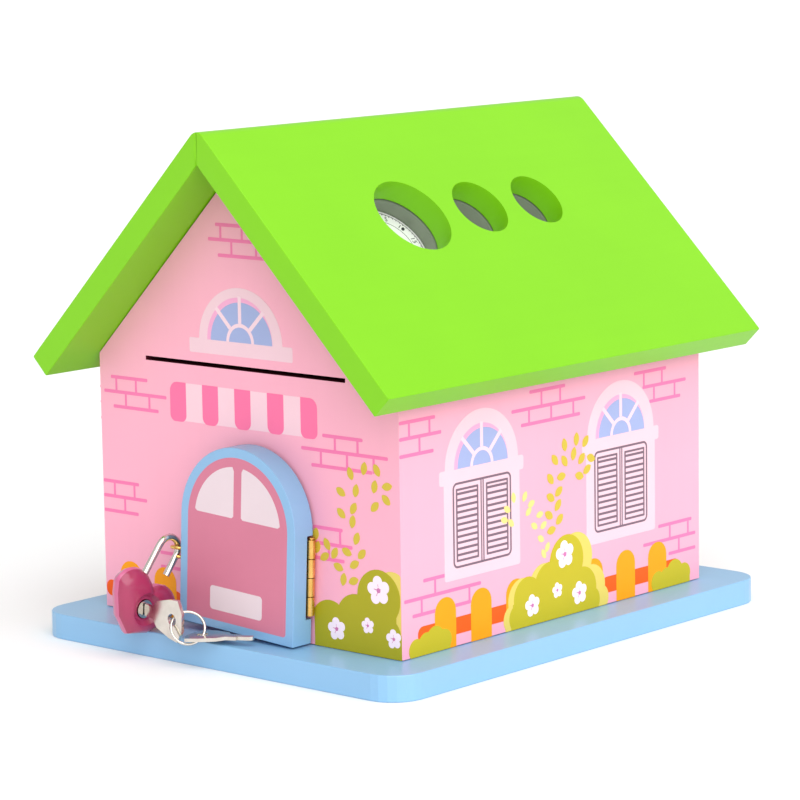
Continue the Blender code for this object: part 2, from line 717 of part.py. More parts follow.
facing = at(0, 0, 0, (90, 0, 0))  # turns local Z to the lock's -Y
dish_floor = HEART_HALF - DISH_DEPTH
core_face = dish_floor + CORE_PROUD
dish = rod("dish", DISH_RADIUS - DISH_DEPTH, dish_floor, 2 * HEART_HALF - dish_floor, 32, DISH_RADIUS + DISH_DEPTH)
boolean(lock_body, add_cutter("dish", dish, lock, facing))
core_bore = rod("core_bore", CORE_RADIUS + GAP, -CORE_BACK - GAP, 2 * HEART_HALF, 24)
boolean(lock_body, add_cutter("core_bore", core_bore, lock, facing))

core_axis = empty("lock_core_axis", at(0, 0, 0, (0, KEY_TURN, 0)), lock)
lock_core = add_part(
    "lock_core", rod("lock_core", CORE_RADIUS, -CORE_BACK, core_face, 24), NICKEL, core_axis, facing
)

# ---------------------------------------------------------------------------------------------
# Two alike keys on a ring: one in the core, one lying in front of the door
# ---------------------------------------------------------------------------------------------
BLADE_LENGTH = 0.0052
BLADE_HALF = 0.0013
NECK_HALF = 0.0021
KEY_STOP = 0.0005  # the shoulder stands this far off the core
BOW_START = 0.0046
BOW_END = 0.0196
BOW_HALF = 0.0074
BOW_TAPER = 0.0022
BOW_HOLE = 0.0021
HOLE_OUT = 0.0146  # from the core's face to the bow's hole
RING_WIRE = 0.00050
SPARE_HOLE = Vector((-0.0030, -0.1013, 0.0109))  # where the spare key's hole lies
SPARE_TURN = 14.0  # degrees, about Z: where its blade points
SPARE_TIP_UP = 3.2  # degrees

keyway = box("keyway", (KEY_THICK + 2 * GAP, 4 * HEART_HALF, 2 * (BLADE_HALF + GAP)))
keyway.transform(Matrix.Translation((0, -core_face + BLADE_LENGTH + GAP - 2 * HEART_HALF, 0)))
boolean(lock_core, add_cutter("keyway", keyway, core_axis))


def key_mesh(name):
    """A flat key's mesh: x runs out of the lock from the core's face, y across the key."""
    side = [
        (-BLADE_LENGTH, BLADE_HALF * 0.4),
        (-BLADE_LENGTH + BLADE_HALF * 0.6, BLADE_HALF),
        (KEY_STOP, BLADE_HALF),
        (KEY_STOP, NECK_HALF),
        (BOW_START, NECK_HALF),
        (BOW_START + BOW_TAPER, BOW_HALF * 0.64),
        (BOW_START + 0.0085, BOW_HALF * 0.92),
        (BOW_END - BOW_TAPER, BOW_HALF),
        (BOW_END, BOW_HALF * 0.42),
    ]
    outline = side + [(x, -y) for x, y in reversed(side)]
    return slab(name, [outline, arc((HOLE_OUT, 0), BOW_HOLE, 0, 345, 23)], KEY_THICK)


# Stands the key's outline on the core's axis: its x to the lock's -Y, its y to the lock's Z.
in_core = Matrix(((0, 0, 1, 0), (-1, 0, 0, -core_face), (0, 1, 0, 0), (0, 0, 0, 1)))
add_part("lock_key", key_mesh("lock_key"), NICKEL, core_axis, in_core)

core_world = lock_world @ Matrix.Rotation(math.radians(KEY_TURN), 4, "Y")
bow_hole = core_world @ Vector((0, -core_face - HOLE_OUT, 0))
ring_across = SPARE_HOLE - bow_hole
through = core_world.to_3x3() @ Vector((1, 0, 0)) + Vector((0, 0, 1))  # between the two keys' normals
ring_x = ring_across.normalized()
ring_z = ring_x.cross(through).normalized()
ring_y = ring_z.cross(ring_x)
ring_world = Matrix.Translation(bow_hole) @ Matrix((ring_x, ring_y, ring_z)).transposed().to_4x4()
ring_axis = empty("key_ring_axis", core_world.inverted() @ ring_world, core_axis)
ring_radius = ring_across.length / 2
ring_points = [(x, y, 0) for x, y in arc((ring_radius, 0), ring_radius, 0, 350, 35)]
add_part("key_ring", wire("key_ring", ring_points, RING_WIRE, cyclic=True), NICKEL, ring_axis)

spare_world = Matrix.Translation(SPARE_HOLE) @ at(0, 0, 0, (0, SPARE_TIP_UP, SPARE_TURN + 180))
spare_axis = empty("spare_key_axis", ring_world.inverted() @ spare_world, ring_axis)
add_part("spare_key", key_mesh("spare_key"), NICKEL, spare_axis, at(-HOLE_OUT, 0, 0))
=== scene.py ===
import json
import math

import bmesh
import bpy
from mathutils import Matrix, Vector
from mathutils.geometry import delaunay_2d_cdt

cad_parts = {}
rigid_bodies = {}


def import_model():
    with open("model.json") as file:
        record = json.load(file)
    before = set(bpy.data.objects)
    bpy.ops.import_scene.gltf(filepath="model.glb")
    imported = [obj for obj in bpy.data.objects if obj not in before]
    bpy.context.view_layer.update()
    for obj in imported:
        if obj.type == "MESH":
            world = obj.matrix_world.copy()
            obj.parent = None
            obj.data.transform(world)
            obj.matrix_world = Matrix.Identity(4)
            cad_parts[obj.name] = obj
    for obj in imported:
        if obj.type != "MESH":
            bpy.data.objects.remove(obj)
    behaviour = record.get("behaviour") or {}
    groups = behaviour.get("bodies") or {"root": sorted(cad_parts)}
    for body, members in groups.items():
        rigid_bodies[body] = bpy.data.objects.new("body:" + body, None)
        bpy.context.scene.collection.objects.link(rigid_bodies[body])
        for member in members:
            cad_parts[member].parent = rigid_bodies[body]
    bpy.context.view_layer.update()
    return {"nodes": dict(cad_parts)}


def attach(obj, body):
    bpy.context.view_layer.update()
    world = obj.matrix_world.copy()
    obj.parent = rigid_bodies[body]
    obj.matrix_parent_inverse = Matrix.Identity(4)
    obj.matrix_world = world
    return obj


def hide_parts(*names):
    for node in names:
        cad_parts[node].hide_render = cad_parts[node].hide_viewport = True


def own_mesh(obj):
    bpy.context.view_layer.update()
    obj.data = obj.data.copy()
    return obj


for leftover in list(bpy.data.objects):
    bpy.data.objects.remove(leftover)
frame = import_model()
nodes = frame["nodes"]

# Base board: one sheet of 9 mm fibreboard with rounded corners, sanded at the edges
# and sprayed sky blue. Four zinc-plated screws hold the walls down from underneath.


class Value:
    """A shader socket that can stand in a sum; each operator adds one Math node."""

    def __init__(self, tree, socket):
        self.tree = tree
        self.socket = socket

    def math(self, operation, first, second=None):
        node = self.tree.nodes.new("ShaderNodeMath")
        node.operation = operation
        for socket, value in zip(node.inputs, (first, second)):
            join(self.tree, value, socket)
        return Value(self.tree, node.outputs[0])

    def __add__(self, other):
        return self.math("ADD", self, other)

    __radd__ = __add__

    def __sub__(self, other):
        return self.math("SUBTRACT", self, other)

    def __rsub__(self, other):
        return self.math("SUBTRACT", other, self)

    def __mul__(self, other):
        return self.math("MULTIPLY", self, other)

    __rmul__ = __mul__

    def __abs__(self):
        return self.math("ABSOLUTE", self)

    def __gt__(self, other):
        return self.math("GREATER_THAN", self, other)

    def __lt__(self, other):
        return self.math("LESS_THAN", self, other)

    def either(self, other):
        return self.math("MAXIMUM", self, other)


def join(tree, value, socket):
    """Links a Value to a socket, or sets a plain number or colour on it."""
    if value is None:
        return
    if isinstance(value, Value):
        tree.links.new(value.socket, socket)
    else:
        socket.default_value = value


def srgb(red, green, blue):
    """A colour as it looks, 0 to 255, turned to the linear values that shaders take."""
    linear = [((c / 255 + 0.055) / 1.055) ** 2.4 if c > 10 else c / 3295 for c in (red, green, blue)]
    return (*linear, 1.0)


def shade(colour, share):
    """A colour made darker or lighter by a share."""
    return tuple(min(c * share, 1.0) for c in colour[:3]) + (1.0,)


class Finish:
    """One material: a Principled shader with its fixed values, and the nodes that vary it."""

    def __init__(self, name, slot, **fixed):
        self.slot = slot
        self.material = bpy.data.materials.new(name)
        self.material.use_nodes = True
        self.tree = self.material.node_tree
        self.shader = self.tree.nodes["Principled BSDF"]
        for socket, value in fixed.items():
            self.shader.inputs[socket.replace("_", " ")].default_value = value
        self.place = self.node("TexCoord", out="Object")

    def node(self, kind, settings=None, inputs=None, out=0):
        made = self.tree.nodes.new("ShaderNode" + kind)
        for setting, value in (settings or {}).items():
            setattr(made, setting, value)
        for socket, value in (inputs or {}).items():
            join(self.tree, value, made.inputs[socket])
        return Value(self.tree, made.outputs[out])

    def feed(self, socket, value):
        join(self.tree, value, self.shader.inputs[socket])

    def noise(self, scale, detail=2.0, stretch=(1, 1, 1)):
        spread = self.node("Mapping", {}, {"Vector": self.place, "Scale": stretch})
        return self.node("TexNoise", {}, {"Vector": spread, "Scale": scale, "Detail": detail})

    def mix(self, share, first, second):
        return self.node("Mix", {"data_type": "RGBA"}, {0: share, 6: first, 7: second}, out=2)

    def axis(self, name):
        return self.node("SeparateXYZ", {}, {0: self.place}, out="XYZ".index(name))

    def bump(self, height, distance):
        self.feed("Normal", self.node("Bump", {}, {"Height": height, "Distance": distance}))


def lacquer(name, slot, colour, rough=0.36, peel=1.2e-5, grain=(1, 1, 1), **fixed):
    """Sprayed paint on fibreboard: faint clouds, sanding lines under the coat, and orange peel."""
    finish = Finish(name, slot, **fixed)
    cloud = finish.noise(26, 3)
    lines = finish.noise(240, 2, grain)
    fleck = finish.noise(900, 1)
    finish.painted = finish.mix(cloud * 0.75 + lines * 0.25, shade(colour, 0.94), shade(colour, 1.05))
    finish.feed("Base Color", finish.painted)
    finish.feed("Roughness", rough - 0.06 + 0.08 * cloud + 0.05 * fleck)
    finish.bump(finish.noise(620, 2) + 0.5 * lines, peel)
    return finish


def coat(finish, *names):
    """Gives CAD nodes their finish."""
    for name in names:
        for slot in nodes[name].material_slots:
            slot.material = finish.material


BASE_BLUE = srgb(136, 184, 222)
coat(lacquer("base_paint", "base_paint", BASE_BLUE, rough=0.3, grain=(0.08, 1, 1)), "base_board")

zinc = Finish("zinc_plate", "screw_steel", Metallic=1.0)
zinc.feed("Base Color", zinc.mix(zinc.noise(400, 3), srgb(150, 152, 155), srgb(205, 207, 210)))
zinc.feed("Roughness", 0.28 + 0.2 * zinc.noise(1500))
zinc.bump(zinc.noise(2500), 1e-5)
coat(zinc, *(f"base_screw_{n}" for n in range(1, 5)))

# Walls: four 9 mm fibreboards, mitred at the corners, sprayed pink outside and left bare inside.
# The money slot is sawn through the front board, and its sawn faces are coloured dark maroon as painted
# shade deep in the narrow slot. The corner joints are filled flush and painted over.
WALL_PINK = srgb(246, 171, 193)
BARE_BOARD = srgb(196, 158, 116)
SLOT_PAINTED_SHADE = srgb(96, 24, 44)
FRONT_FACE = -0.082
SIDE_FACE = 0.070
SKIN = 0.0007
SLOT_ROOM = (0.0988, 0.1016)
SLOT_SETBACK = 0.00012
UPRIGHT_GRAIN = (1, 1, 0.07)
WALL_ROUGH = 0.42


def wall_finish(name, axis, face, inwards):
    """Pink outside, bare board inside: the skin is what lies within 0.7 mm of the printed face."""
    finish = lacquer(name, "wall_paint", WALL_PINK, rough=WALL_ROUGH, grain=UPRIGHT_GRAIN)
    depth = (finish.axis(axis) - face) * inwards
    corner = abs(finish.axis("X")) > SIDE_FACE - SKIN
    painted = (depth < SKIN).either(corner)
    colour = finish.mix(painted, BARE_BOARD, finish.painted)
    # On the front wall the faces inside the money slot are coloured dark maroon: painted shade, where little
    # light gets in.
    if name == "front_wall_paint":
        height = finish.axis("Z")
        slot = (height > SLOT_ROOM[0]) * (height < SLOT_ROOM[1]) * (depth > SLOT_SETBACK) * (1 - corner)
        colour = finish.mix(slot, colour, SLOT_PAINTED_SHADE)
    finish.feed("Base Color", colour)
    return finish


coat(wall_finish("front_wall_paint", "Y", FRONT_FACE, 1), "front_wall")
coat(wall_finish("back_wall_paint", "Y", -FRONT_FACE, -1), "back_wall")
coat(wall_finish("right_wall_paint", "X", SIDE_FACE, -1), "right_wall")
coat(wall_finish("left_wall_paint", "X", -SIDE_FACE, 1), "left_wall")


def own_piece(name, mesh, finish, body, *replaced):
    """A mesh of this script's own, with its finish, riding on a body of the frame."""
    piece = bpy.data.objects.new(name, mesh)
    bpy.context.scene.collection.objects.link(piece)
    mesh.materials.clear()
    mesh.materials.append(finish.material)
    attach(piece, body)
    if replaced:
        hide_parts(*replaced)
    return piece


corner_paint = lacquer("corner_paint", "wall_paint", WALL_PINK, rough=WALL_ROUGH, grain=UPRIGHT_GRAIN)
BEAD = [(0.070012, 0.0817), (0.070012, 0.08185), (0.06985, 0.082012), (0.0697, 0.082012)]
BEAD += [(0.0697, 0.0819), (0.0699, 0.0817)]
BEAD_FOOT, BEAD_HEAD = 0.0094, 0.0990
for x_way, y_way, corner in (
    (-1, -1, "front_left"),
    (-1, 1, "back_left"),
    (1, -1, "front_right"),
    (1, 1, "back_right"),
):
    section = [(x * x_way, y * y_way) for x, y in (BEAD if x_way == y_way else BEAD[::-1])]
    count = len(section)
    filler = bpy.data.meshes.new("filler")
    filler.from_pydata(
        [(x, y, z) for z in (BEAD_FOOT, BEAD_HEAD) for x, y in section],
        [],
        [tuple(range(count))[::-1], tuple(range(count, 2 * count))]
        + [(i, (i + 1) % count, (i + 1) % count + count, i + count) for i in range(count)],
    )
    own_piece(f"corner_filler_{corner}", filler, corner_paint, "house")

# Screen print on the walls: each ink is a film a few hundredths of a millimetre thick, laid over
# the pink one colour after another. Bricks come first, then fence, windows, shrubs and flowers.
MM = 0.001
FILM_ROOT = 0.02
SAME_SPOT = 1e-4
INKS = {
    "brick": (srgb(240, 122, 172), 0.03),
    "awning_white": (srgb(244, 202, 214), 0.03),
    "awning_pink": (srgb(248, 116, 162), 0.04),
    "fence_rail": (srgb(244, 92, 8), 0.05),
    "fence_post": (srgb(252, 160, 0), 0.06),
    "window_white": (srgb(238, 200, 212), 0.05),
    "window_rose": (srgb(240, 168, 205), 0.07),
    "window_glass": (srgb(160, 172, 216), 0.09),
    "window_bars": (srgb(242, 208, 220), 0.11),
    "shutter_line": (srgb(122, 100, 114), 0.08),
    "shrub_pale": (srgb(226, 204, 100), 0.10),
    "shrub": (srgb(194, 180, 34), 0.12),
    "shrub_shade": (srgb(172, 164, 30), 0.13),
    "vine": (srgb(208, 184, 64), 0.14),
    "vine_pale": (srgb(248, 216, 132), 0.10),
    "flower": (srgb(252, 232, 242), 0.16),
    "flower_heart": (srgb(206, 120, 172), 0.18),
    "door_panel": (srgb(206, 122, 146), 0.03),
    "door_pale": (srgb(224, 206, 212), 0.05),
}


def ink_finish(name, slot):
    """A flat ink: a trace of screen mesh in its bump, and a thin, slightly uneven coat."""
    colour, _ = INKS[name]
    finish = Finish(name + "_ink", slot, Specular_IOR_Level=0.22)
    cover = finish.noise(60, 3)
    mesh_mark = finish.noise(1400, 1)
    finish.feed("Base Color", finish.mix(cover, shade(colour, 0.95), shade(colour, 1.04)))
    finish.feed("Roughness", 0.36 + 0.1 * mesh_mark)
    finish.bump(mesh_mark, 6e-6)
    return finish


def film(outlines, top):
    """One closed sheet of ink over the union of flat outlines, in mm: across is X, up is Z, out is -Y."""
    points, faces = [], []
    for outline in outlines:
        area = sum(a[0] * b[1] - b[0] * a[1] for a, b in zip(outline, outline[1:] + outline[:1]))
        faces.append(list(range(len(points), len(points) + len(outline))))
        points += [Vector(p) for p in (outline if area > 0 else outline[::-1])]
    points, _, faces, _, _, owners = delaunay_2d_cdt(points, [], faces, 1, SAME_SPOT)
    faces = [face for face, inside in zip(faces, owners) if inside]
    count = len(points)
    solid = [[p[0] * MM, -top * MM, p[1] * MM] for p in points]
    solid += [[p[0] * MM, FILM_ROOT * MM, p[1] * MM] for p in points]
    sides = {(a, b) for face in faces for a, b in zip(face, face[1:] + face[:1])}
    rim = [(a, b) for a, b in sides if (b, a) not in sides]
    sheet = [list(face) for face in faces] + [[i + count for i in reversed(face)] for face in faces]
    sheet += [[a + count, b + count, b, a] for a, b in sorted(rim)]
    mesh = bpy.data.meshes.new("film")
    mesh.from_pydata(solid, [], sheet)
    mesh.validate()
    return mesh


def arc(x, z, radius, start, end, steps=24):
    """Points along an arc, from one angle to another in degrees."""
    angles = [math.radians(start + (end - start) * i / steps) for i in range(steps + 1)]
    return [(x + radius * math.cos(a), z + radius * math.sin(a)) for a in angles]


def disc(x, z, radius):
    return arc(x, z, radius, 0, 348.75, 31)


def pad(x0, x1, z0, z1, foot=0.4, head=None):
    """A rectangle with rounded corners, of one radius below and another above."""
    head = foot if head is None else head
    corners = [(x1 - foot, z0 + foot, foot, -90), (x1 - head, z1 - head, head, 0)]
    corners += [(x0 + head, z1 - head, head, 90), (x0 + foot, z0 + foot, foot, 180)]
    return [p for x, z, r, turn in corners for p in arc(x, z, r, turn, turn + 90, 6)]


def half_round(x, foot, radius, crown):
    """An arch on a straight foot, whose crown may be a little higher or lower than its half width."""
    return [(px, foot + (pz - foot) * crown / radius) for px, pz in arc(x, foot, radius, 0, 180, 36)]


def held(data):
    """A passing object that holds a mesh or a text while it is worked on."""
    work = bpy.data.objects.new("work", data)
    bpy.context.scene.collection.objects.link(work)
    return work


def taken(work):
    """The plain mesh that a passing object makes; the object goes."""
    bpy.context.view_layer.update()
    graph = bpy.context.evaluated_depsgraph_get()
    result = bpy.data.meshes.new_from_object(work.evaluated_get(graph))
    bpy.data.objects.remove(work)
    return result


class Tree:
    """A Geometry Nodes tree with named inputs; it ends in Realize Instances and Set Material."""

    def __init__(self, name, **inputs):
        self.group = bpy.data.node_groups.new(name, "GeometryNodeTree")
        sockets = self.group.interface
        sockets.new_socket("Geometry", in_out="INPUT", socket_type="NodeSocketGeometry")
        sockets.new_socket("Geometry", in_out="OUTPUT", socket_type="NodeSocketGeometry")
        for label, kind in inputs.items():
            sockets.new_socket(label.replace("_", " "), in_out="INPUT", socket_type="NodeSocket" + kind)
        self.entry = self.group.nodes.new("NodeGroupInput")

    def given(self, label):
        return self.entry.outputs[label]

    def node(self, kind, settings=None, inputs=None, out=0):
        made = self.group.nodes.new(kind)
        for setting, value in (settings or {}).items():
            setattr(made, setting, value)
        for socket, value in (inputs or {}).items():
            if isinstance(value, bpy.types.NodeSocket):
                self.group.links.new(value, made.inputs[socket])
            else:
                made.inputs[socket].default_value = value
        return made.outputs[out]

    def close(self, instances):
        solid = self.node("GeometryNodeRealizeInstances", {}, {0: instances})
        material = self.given("Material")
        inked = self.node("GeometryNodeSetMaterial", {}, {"Geometry": solid, "Material": material})
        end = self.group.nodes.new("NodeGroupOutput")
        self.group.links.new(inked, end.inputs[0])

    def grow(self, mesh, finish, **values):
        """Runs the tree on a mesh and returns the plain mesh that comes out."""
        work = held(mesh)
        modifier = work.modifiers.new("grow", "NODES")
        modifier.node_group = self.group
        values["Material"] = finish.material
        for item in self.group.interface.items_tree:
            label = item.name.replace(" ", "_")
            if item.in_out == "INPUT" and label in values:
                modifier[item.identifier] = values[label]
        return taken(work)


row = Tree("row_of_copies", Count="Int", Step="Vector", Material="Material")
row_line = row.node(
    "GeometryNodeMeshLine",
    {"mode": "OFFSET"},
    {"Count": row.given("Count"), "Offset": row.given("Step")},
)
row.close(
    row.node("GeometryNodeInstanceOnPoints", {}, {"Points": row_line, "Instance": row.given("Geometry")})
)

fan = Tree("fan_of_copies", Count="Int", First_Turn="Float", Turn_Step="Float", Material="Material")
fan_line = fan.node(
    "GeometryNodeMeshLine",
    {"mode": "OFFSET"},
    {"Count": fan.given("Count"), "Offset": (0, 0, 0)},
)
fan_turn = fan.node(
    "ShaderNodeMath",
    {"operation": "MULTIPLY_ADD"},
    {0: fan.node("GeometryNodeInputIndex"), 1: fan.given("Turn Step"), 2: fan.given("First Turn")},
)
fan.close(
    fan.node(
        "GeometryNodeInstanceOnPoints",
        {},
        {
            "Points": fan_line,
            "Instance": fan.given("Geometry"),
            "Rotation": fan.node("ShaderNodeCombineXYZ", {}, {"Y": fan_turn}),
        },
    )
)

scatter = Tree("copies_at_places", Motif="Object", Size="Float", Material="Material")
scatter_turn = scatter.node("GeometryNodeInputNamedAttribute", {"data_type": "FLOAT"}, {"Name": "turn"})
scatter_size = scatter.node(
    "ShaderNodeMath",
    {"operation": "MULTIPLY"},
    {
        0: scatter.node("GeometryNodeInputNamedAttribute", {"data_type": "FLOAT"}, {"Name": "size"}),
        1: scatter.given("Size"),
    },
)
scatter_motif = scatter.node("GeometryNodeObjectInfo", {}, {"Object": scatter.given("Motif")}, out="Geometry")
scatter_spread = {"X": scatter_size, "Y": 1.0, "Z": scatter_size}
scatter.close(
    scatter.node(
        "GeometryNodeInstanceOnPoints",
        {},
        {
            "Points": scatter.given("Geometry"),
            "Instance": scatter_motif,
            "Rotation": scatter.node("ShaderNodeCombineXYZ", {}, {"Y": scatter_turn}),
            "Scale": scatter.node("ShaderNodeCombineXYZ", {}, scatter_spread),
        },
    )
)


def scattered(motif, places, finish, size=1.0):
    """Copies of a flat motif at (across, up, turn in degrees, size) places."""
    mesh = bpy.data.meshes.new("places")
    mesh.from_pydata([(x * MM, 0, z * MM) for x, z, _, _ in places], [], [])
    turns = [-math.radians(turn) for _, _, turn, _ in places]
    sizes = [share for _, _, _, share in places]
    for label, values in (("turn", turns), ("size", sizes)):
        mesh.attributes.new(label, "FLOAT", "POINT").data.foreach_set("value", values)
    holder = held(motif)
    grown = scatter.grow(mesh, finish, Motif=holder, Size=size)
    bpy.data.objects.remove(holder)
    return grown


class Print:
    """What is printed on one face: meshes are kept by ink, then laid on as one piece for each ink."""

    def __init__(self, face, place, body="house", slot="wall_paint"):
        self.face, self.place, self.body, self.slot = face, place, body, slot
        self.flat, self.grown, self.finishes = {}, {}, {}

    def finish(self, ink):
        if ink not in self.finishes:
            self.finishes[ink] = ink_finish(ink, self.slot)
        return self.finishes[ink]

    def draw(self, ink, *outlines):
        self.flat.setdefault(ink, []).extend(outlines)

    def add(self, ink, mesh, x=0.0, z=0.0):
        mesh.transform(Matrix.Translation((x * MM, 0, z * MM)))
        self.grown.setdefault(ink, []).append(mesh)

    def lay(self):
        for ink in list(INKS):
            meshes = list(self.grown.get(ink, []))
            if ink in self.flat:
                meshes.append(film(self.flat[ink], INKS[ink][1]))
            if not meshes:
                continue
            whole = bmesh.new()
            for mesh in meshes:
                whole.from_mesh(mesh)
            bmesh.ops.transform(whole, matrix=self.place, verts=whole.verts)
            result = bpy.data.meshes.new(f"{self.face}_{ink}")
            whole.to_mesh(result)
            whole.free()
            own_piece(f"{self.face}_{ink}_print", result, self.finish(ink), self.body)


MORTAR = 1.24
JOINT = 1.0


def bricks(face, courses, joints):
    """Bare brick outlines: courses are (height, from, to), joints are (lower, upper, across...)."""
    for z, x0, x1 in courses:
        face.draw("brick", pad(x0, x1, z - MORTAR / 2, z + MORTAR / 2, 0.5))
    for lower, upper, *across in joints:
        for x in across:
            face.draw("brick", pad(x - JOINT / 2, x + JOINT / 2, lower - 0.2, upper + 0.2, 0.1))


BAR = 1.5
HUB_RING = 1.3
SHADOW_SHIFT = 0.3
GLASS_SHIFT = 0.5


def fanlight(face, x, foot, outer, crown, glass, hub):
    """The half-round top of a window: white arch, rose shadow, glass, three bars and a hub ring."""
    face.draw("window_white", half_round(x, foot, outer, crown))
    face.draw("window_rose", half_round(x - SHADOW_SHIFT, foot, glass, glass))
    face.draw("window_glass", half_round(x + GLASS_SHIFT, foot, glass - 0.9, glass - 1.6))
    face.draw("window_bars", arc(x, foot, hub, 0, 180) + arc(x, foot, hub - HUB_RING, 180, 0))
    bar = film([pad(-BAR / 2, BAR / 2, hub + 0.02, glass + 0.5, 0.05)], INKS["window_bars"][1])
    eighth = math.radians(45)
    bars = fan.grow(bar, face.finish("window_bars"), Count=3, First_Turn=-eighth, Turn_Step=eighth)
    face.add("window_bars", bars, x, foot)


SILL_HALF, SILL_FOOT, SILL_HEAD = 22, 64.2, 69.2
PANEL_HALF, PANEL_FOOT, PANEL_HEAD = 19.8, 31.7, 66
FRAME_HALF, FRAME_FOOT, FRAME_HEAD = 15.25, 35.5, 64.5
LEAF_NEAR, LEAF_FAR, LEAF_FOOT, LEAF_HEAD = 2.0, 13.6, 37.6, 62.4
LINE = 0.76
MIDDLE_LINES = 0.55
SLATS, SLAT_STEP, SLAT_THICK, FIRST_SLAT = 11, 2.068, 0.84, 39.9


def line_frame(face, x0, x1, z0, z1, corner):
    """A rounded rectangle drawn as a thin dark line."""
    outside = pad(x0, x1, z0, z1, corner)
    inside = pad(x0 + LINE, x1 - LINE, z0 + LINE, z1 - LINE, max(corner - LINE, 0.1))
    for i in range(len(outside)):
        j = (i + 1) % len(outside)
        face.draw("shutter_line", [outside[i], outside[j], inside[j], inside[i]])


def shutters(face, x):
    """A shuttered window: fanlight, sill, pale panel, and two louvred leaves in thin dark lines."""
    fanlight(face, x, 69, 19.1, 18.9, 14.0, 6.0)
    face.draw("window_white", pad(x - SILL_HALF, x + SILL_HALF, SILL_FOOT, SILL_HEAD, 1.0))
    face.draw("window_white", pad(x - PANEL_HALF, x + PANEL_HALF, PANEL_FOOT, PANEL_HEAD, 1.0))
    line_frame(face, x - FRAME_HALF, x + FRAME_HALF, FRAME_FOOT, FRAME_HEAD, 2.2)
    line_frame(face, x - LEAF_FAR, x - LEAF_NEAR, LEAF_FOOT, LEAF_HEAD, 0.3)
    line_frame(face, x + LEAF_NEAR, x + LEAF_FAR, LEAF_FOOT, LEAF_HEAD, 0.3)
    for side in (-MIDDLE_LINES, MIDDLE_LINES):
        face.draw("shutter_line", pad(x + side - 0.3, x + side + 0.3, 36, 64, 0.05))
    length = LEAF_FAR - LEAF_NEAR - 2 * LINE
    slat = film([pad(0.02, length - 0.02, -SLAT_THICK / 2, SLAT_THICK / 2, 0.1)], INKS["shutter_line"][1])
    for left in (x - LEAF_FAR + LINE, x + LEAF_NEAR + LINE):
        slats = row.grow(slat, face.finish("shutter_line"), Count=SLATS, Step=(0, 0, SLAT_STEP * MM))
        face.add("shutter_line", slats, left, FIRST_SLAT)


PRINT_FOOT = 9.2
PICKET_HALF, PICKET_HEAD = 5.4, 26.8
RAIL_FOOT, RAIL_HEAD = 13.2, 19.0


def fence(face, posts, step, first, rails):
    """Round-topped pickets on a rail."""
    outline = pad(-PICKET_HALF, PICKET_HALF, PRINT_FOOT, PICKET_HEAD, 0.2, 5.2)
    picket = film([outline], INKS["fence_post"][1])
    grown = row.grow(picket, face.finish("fence_post"), Count=posts, Step=(step * MM, 0, 0))
    face.add("fence_post", grown, first)
    for x0, x1 in rails:
        face.draw("fence_rail", pad(x0, x1, RAIL_FOOT, RAIL_HEAD, 2.6))


def shrub(face, ink, bumps, left=-math.inf, right=math.inf):
    """A clipped shrub: overlapping round bumps, each on a straight trunk down to the base."""
    for x, z, r in bumps:
        crown = [(min(max(px, left), right), max(pz, PRINT_FOOT)) for px, pz in disc(x, z, r)]
        face.draw(ink, crown)
        if z - PRINT_FOOT > 0.3 * r:
            x0, x1 = max(x - r * 0.8, left), min(x + r * 0.8, right)
            face.draw(ink, [(x0, PRINT_FOOT), (x1, PRINT_FOOT), (x1, z), (x0, z)])


FLOWER_TURN = 8
fifths = [math.tau * n / 5 for n in range(5)]
petals = [disc(0.58 * math.sin(a), 0.58 * math.cos(a), 0.41) for a in fifths]
flower_film = film(petals + [disc(0, 0, 0.45)], INKS["flower"][1])
rays = [[(0, 0.05)] + arc(0, 0, 0.42, a - 3, a + 3, 2) + [(0, -0.05)] for a in range(18, 378, 72)]
flower_heart_film = film([disc(0, 0, 0.17)] + rays, INKS["flower_heart"][1])


def flowers(face, places):
    """Five-petalled flowers, each with a small darker heart: each is (across, up, radius)."""
    spots = [(x, z, FLOWER_TURN, r) for x, z, r in places]
    face.add("flower", scattered(flower_film, spots, face.finish("flower")))
    face.add("flower_heart", scattered(flower_heart_film, spots, face.finish("flower_heart")))


leaf_outline = arc(0, -1.25, 2.6, 151, 29, 10) + arc(0, 1.25, 2.6, -29, -151, 10)


def vine(face, ink, places, size=1.0):
    """Loose leaves along a climbing stem: each is (across, up, turn)."""
    leaf = film([leaf_outline], INKS[ink][1])
    spots = [(x, z, turn, 1.0) for x, z, turn in places]
    face.add(ink, scattered(leaf, spots, face.finish(ink), size))


front = Print("front_wall", Matrix.Translation((0, FRONT_FACE, 0)))
bricks(
    front,
    [(148.6, -11.5, 1), (143.5, -15, 7), (138.2, -10.5, 13), (92.1, -64.5, -46.2), (86.9, -68, -37)]
    + [(81.7, -63.5, -41), (54.7, -69.6, -51.8), (49.4, -69.6, -48), (44.1, -69.6, -52.4)]
    + [(81, 36, 54), (75.9, 26.3, 65), (70.6, 30.8, 58), (49.7, 31, 44.4), (44.4, 31, 48.7)]
    + [(39.3, 31, 45), (32, -42, -30), (27, -42, -30)],
    [(143.5, 148.6, -9, 1), (138.2, 143.5, -4, 7.5), (86.9, 92.1, -61.8, -52), (81.7, 86.9, -57.2, -45.5)]
    + [(49.4, 54.7, -64.1, -54.2), (44.1, 49.4, -59.1), (75.9, 81, 41.6, 51.7)]
    + [(70.6, 75.9, 35.2, 46.9, 58.7), (44.4, 49.7, 43.2), (39.3, 44.4, 38)],
)
front.draw("window_white", pad(-25, 23.3, 104.1, 109.2, 0.6))
fanlight(front, -0.8, 109, 19.5, 18.6, 15.3, 6.5)
front.draw("awning_white", pad(-30, 28, 79.6, 92.9, 1.6, 0.3))
